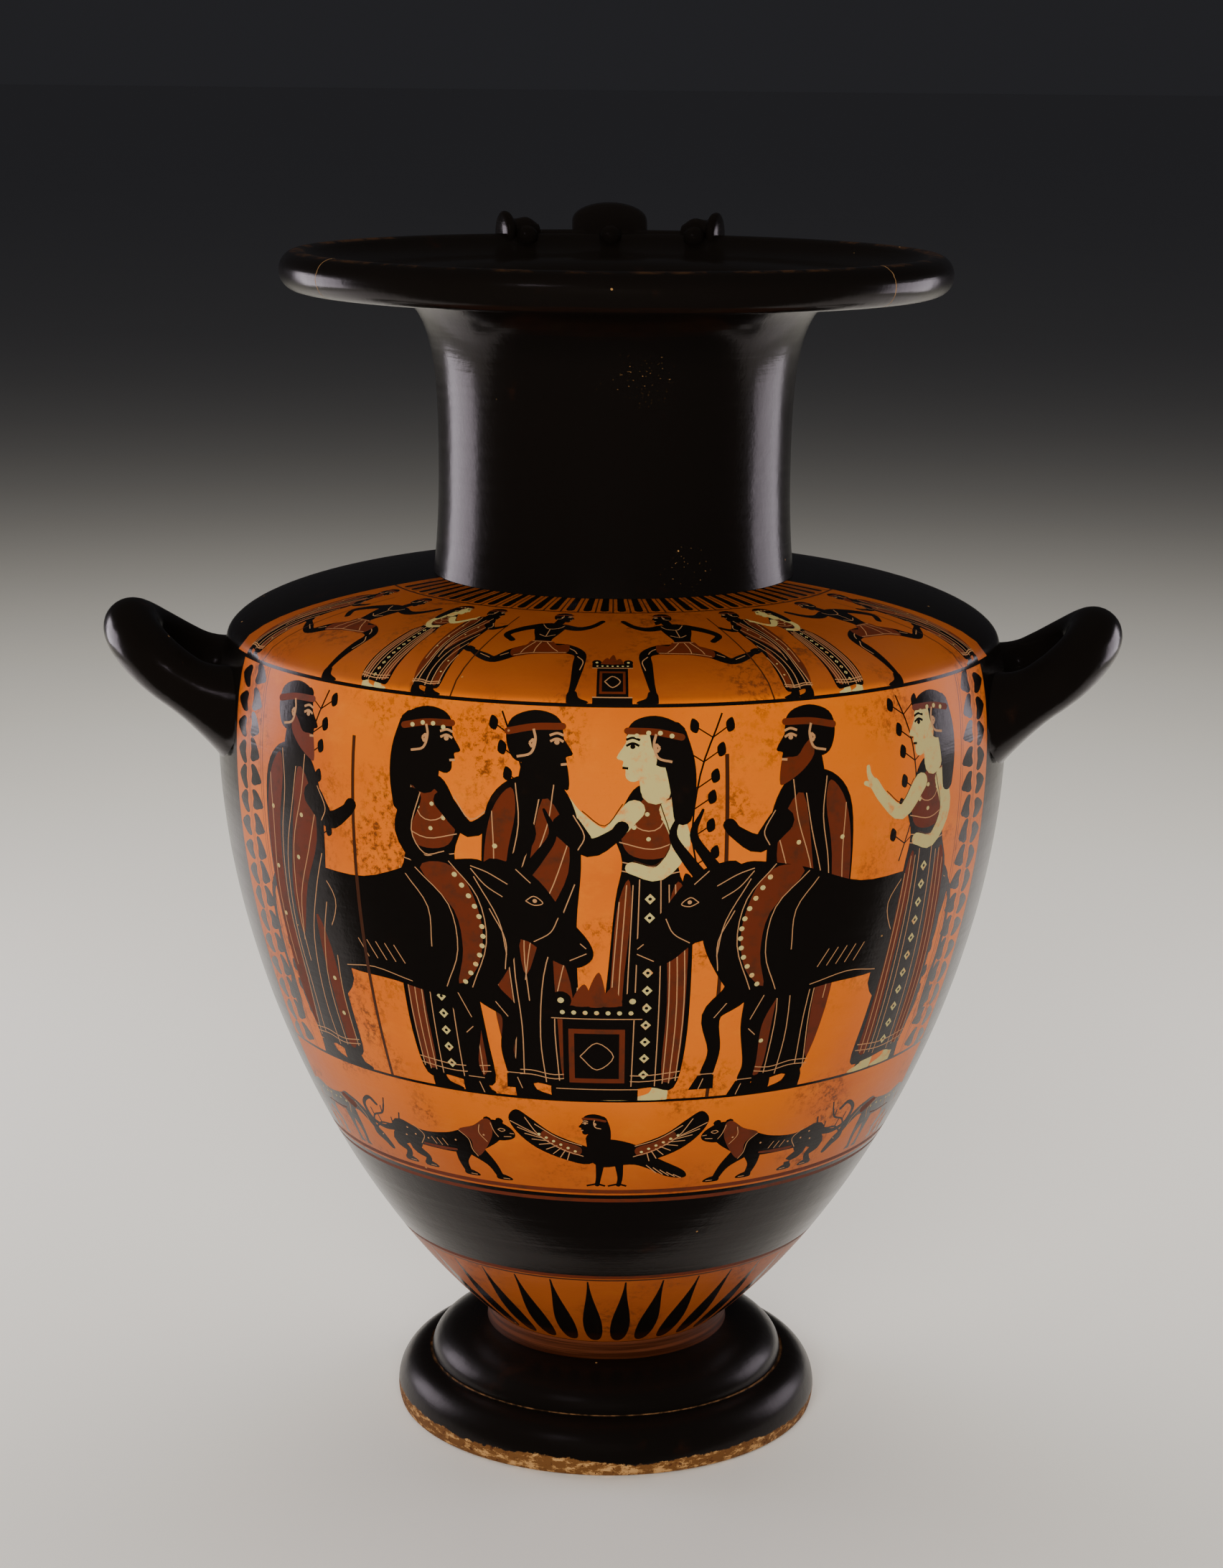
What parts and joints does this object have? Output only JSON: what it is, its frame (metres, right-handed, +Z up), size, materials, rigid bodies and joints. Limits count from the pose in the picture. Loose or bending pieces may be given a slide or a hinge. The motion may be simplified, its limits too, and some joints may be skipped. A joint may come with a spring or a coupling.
{
  "type": "black-figure hydria",
  "caption": "Greek water jar of fired clay with painted picture panels, a broad flat mouth, a turned foot, two lifting handles and an upright pouring handle.",
  "frame": {"origin": "centre of the resting plane, on the jar's turned axis", "axes": "+Z up the turned axis, -Y towards the picture side, +X towards the right lifting handle as seen from the picture side"},
  "size_m": [0.4224, 0.331, 0.513],
  "materials": {
    "painted clay": "glossy black slip over orange clay"
  },
  "bodies": {
    "root": {"hydria": "painted clay"}
  },
  "joints": []
}
